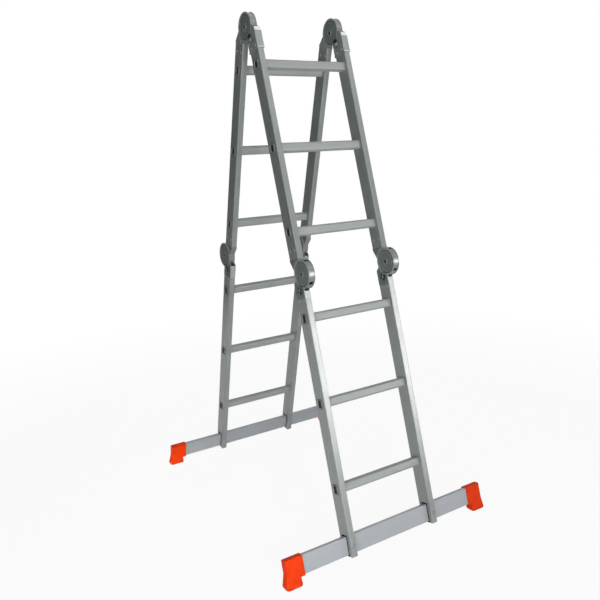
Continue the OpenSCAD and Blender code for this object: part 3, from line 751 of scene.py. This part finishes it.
def rounded_loop(middle, u, v, half_u, half_v, radius, steps=5):
    """Closed path of a rectangle with round corners."""
    loop = []
    for quarter, (su, sv) in enumerate(((1, 1), (-1, 1), (-1, -1), (1, -1))):
        corner = middle + u * su * (half_u - radius) + v * sv * (half_v - radius)
        loop += arc(corner, radius, u, v, 90 * quarter, 90 * quarter + 90, steps)
    return loop


def slab(bm, middle, u, v, half_u, half_v, radius, rise):
    """Low block with round corners and a bevelled edge, standing along rise."""
    lift = rise.normalized() * EDGE
    foot = rounded_loop(middle, u, v, half_u, half_v, radius)
    top = rounded_loop(middle + rise, u, v, half_u - EDGE, half_v - EDGE, radius - EDGE / 2)
    levels = [foot, [p + rise - lift for p in foot], top]
    join_rings(bm, [[bm.verts.new(p) for p in level] for level in levels])


def add_rolled_ends(rung, section, material):
    """Rolled lips inside the collars at both open ends of a rung."""
    down, out = down_of(section), out_of(section)
    bm = bmesh.new()
    for _, x in side_faces(rung):
        middle, half_u, half_v = face_frame(rung, x, out, down)
        loop = rounded_loop(middle, out, down, half_u - ROLL_IN, half_v - ROLL_IN, ROLL_CORNER)
        tube(bm, loop, ROLL_R, X_AXIS)
    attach(new_object(rung + "_rolled_ends", bm, material), BODY_OF[rung])


def add_end_shade_plugs(rung, section, material):
    """Sunk black plug with a low boss in both open ends of a rung, a dark piece that stands in for the shade
    inside the tube.
    """
    down, out = down_of(section), out_of(section)
    bm = bmesh.new()
    for sign, x in side_faces(rung):
        middle, half_u, half_v = face_frame(rung, x, out, down)
        half_u, half_v = half_u - PLUG_IN, half_v - PLUG_IN
        face = middle - X_AXIS * sign * PLUG_SUNK
        rise = X_AXIS * sign * PLUG_T
        slab(bm, face - rise, out, down, half_u, half_v, PLUG_CORNER, rise)
        slab(bm, face, out, down, half_u * PLUG_BOSS, half_v * PLUG_BOSS, PLUG_CORNER / 2, rise / 2)
    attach(new_object(rung + "_end_plugs", bm, material), BODY_OF[rung])


def add_tongue_beads(hinge, side, material):
    """Arc bead round the hinge on both sides of a tongue bracket."""
    tongue = hinge + "_tongue_" + side
    pivot, along, back = hinge_axes(hinge, HINGES[hinge][1])
    bm = bmesh.new()
    for _, x in side_faces(tongue):
        middle = Vector((x, pivot.y, pivot.z))
        path = arc(middle, BEAD_AT, along, back, *BEAD_TURN, BEAD_STEPS)
        tube(bm, path, BEAD_R, X_AXIS, closed=False)
    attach(new_object(tongue + "_beads", bm, material), BODY_OF[tongue])


def add_tab_covers(hinge, side, material):
    """Cast cover on each finger tab: a spine and three bars that leave slits of the black tab bare, as dark lines
    of painted shade in its gaps.
    """
    lock = hinge + "_lock_" + side
    slide = Vector(JOINTS[lock + "_draw"]["axis"]).normalized()
    across = slide.cross(X_AXIS)
    bm = bmesh.new()
    for sign, x in side_faces(lock):
        middle, half_u, half_v = face_frame(lock, x, across, slide)
        rise = X_AXIS * sign * TAB_RISE
        slab(bm, middle, across, slide, half_u * SPINE_PART, half_v - TAB_GAP, SPINE_CORNER, rise)
        for step in (-1, 0, 1):
            bar = middle + slide * step * (half_v - TAB_GAP - TAB_BAR)
            slab(bm, bar, across, slide, half_u - TAB_GAP, TAB_BAR, TAB_CORNER, rise)
    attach(new_object(lock + "_covers", bm, material), BODY_OF[lock])


def add_tab_caps(side, material):
    """Cap on the far half of each finger tab of a top hinge."""
    lock = "top_lock_" + side
    along, back = hinge_axes("top", "front_upper")[1:]
    bm = bmesh.new()
    for sign, x in side_faces(lock):
        middle, half_u, half_v = face_frame(lock, x, back, along)
        middle += along * half_v * (1 - CAP_PART)
        slab(bm, middle, back, along, half_u - TAB_GAP / 2, half_v * CAP_PART - TAB_GAP, TAB_CORNER,
             X_AXIS * sign * TAB_RISE)
    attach(new_object(lock + "_caps", bm, material), BODY_OF[lock])


def add_plate_rings(hinge, side, material):
    """Turned rings on the outside of both hinge plates, which are alike in all the forks."""
    fork = hinge + "_fork_" + side
    knee = "front_knee_fork_" + side
    pivot, knee_pivot = pivot_of(hinge), pivot_of("front_knee")
    middle_x = centre(knee).x
    bm = bmesh.new()
    for _, x in side_faces(knee):
        rim = max((p - knee_pivot).yz.length for p in face_points(knee, x))
        middle = Vector((middle_x + (x - middle_x) * RING_FACE, pivot.y, pivot.z))
        for part in RING_PARTS:
            loop = arc(middle, rim * part, Y_AXIS, Z_AXIS, *RING_TURN, RING_STEPS)
            tube(bm, loop, RING_R, X_AXIS, sides=RING_SIDES)
    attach(new_object(fork + "_rings", bm, material), BODY_OF[fork])


def add_mouth_shade_block(hinge, side, material):
    """Black block in the mouth of a fork, under the disc, a dark piece that stands in for the shade there."""
    fork = hinge + "_fork_" + side
    section = HINGES[hinge][0]
    pivot, along, back = hinge_axes(hinge, section)
    stile = section + "_stile_" + side
    low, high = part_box(stile)
    inner = min((v.co - pivot).dot(back) for v in NODES[stile].data.vertices)
    middle = Vector((centre(stile).x, pivot.y, pivot.z)) + along * (MOUTH[0] + MOUTH[1]) / 2
    half_x = (high.x - low.x) / 2 - MOUTH_IN
    bm = bmesh.new()
    slab(bm, middle + back * (inner + MOUTH_BACK + MOUTH_DEEP), X_AXIS, along, half_x,
         (MOUTH[1] - MOUTH[0]) / 2, MOUTH_CORNER, -back * MOUTH_DEEP)
    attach(new_object(fork + "_mouth_stop", bm, material), BODY_OF[fork])


def add_sleeve_bead(side, material):
    """Rolled bead round the end of a top bracket's sleeve, which carries a painted highlight."""
    fork = "top_fork_" + side
    along, back = hinge_axes("top", "front_upper")[1:]
    points = [p for _, x in side_faces(fork) for p in face_points(fork, x)]
    (at_u, half_u), (at_v, half_v) = spread(points, X_AXIS), spread(points, back)
    middle = X_AXIS * at_u + back * at_v + along * spread(points, along)[0]
    loop = rounded_loop(middle, X_AXIS, back, half_u - LIP_R / 2, half_v - LIP_R / 2, LIP_CORNER)
    bm = bmesh.new()
    tube(bm, loop, LIP_R, along)
    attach(new_object(fork + "_bead", bm, material), BODY_OF[fork])


def add_details(mats):
    for section in SECTIONS:
        for i in RUNGS:
            rung = "%s_rung_%d" % (section, i)
            add_rolled_ends(rung, section, mats[section])
            add_end_shade_plugs(rung, section, mats["lock"])
    for side in SIDES:
        add_sleeve_bead(side, mats["bead_" + side])
        add_tab_caps(side, mats["front_upper"])
        for hinge in HINGES:
            add_tongue_beads(hinge, side, mats["bright"])
            if hinge != "top":
                add_tab_covers(hinge, side, mats[hinge])
            add_plate_rings(hinge, side, mats[hinge])
            add_mouth_shade_block(hinge, side, mats["lock"])


def dress_nodes(mats):
    """Every CAD node takes the material of its slot, or of its section or hinge."""
    for name, obj in NODES.items():
        slot = SLOT_OF[name]
        if slot == "stile" or name.endswith("_rivets"):
            slot = next(s for s in SECTIONS if name.replace("_bar_", "_lower_").startswith(s))
        elif slot == "hinge" or name.endswith("_pivot_pins"):
            slot = next(h for h in HINGES if name.startswith(h))
            slot += "_tongue" if "_tongue_" in name else ""
        obj.data.materials.clear()
        obj.data.materials.append(mats[slot])


bpy.context.scene.view_settings.view_transform = "Standard"
MATS = make_materials()
add_camera()
add_lamps()
add_world()
add_floor()
add_flag()
dress_nodes(MATS)
add_details(MATS)
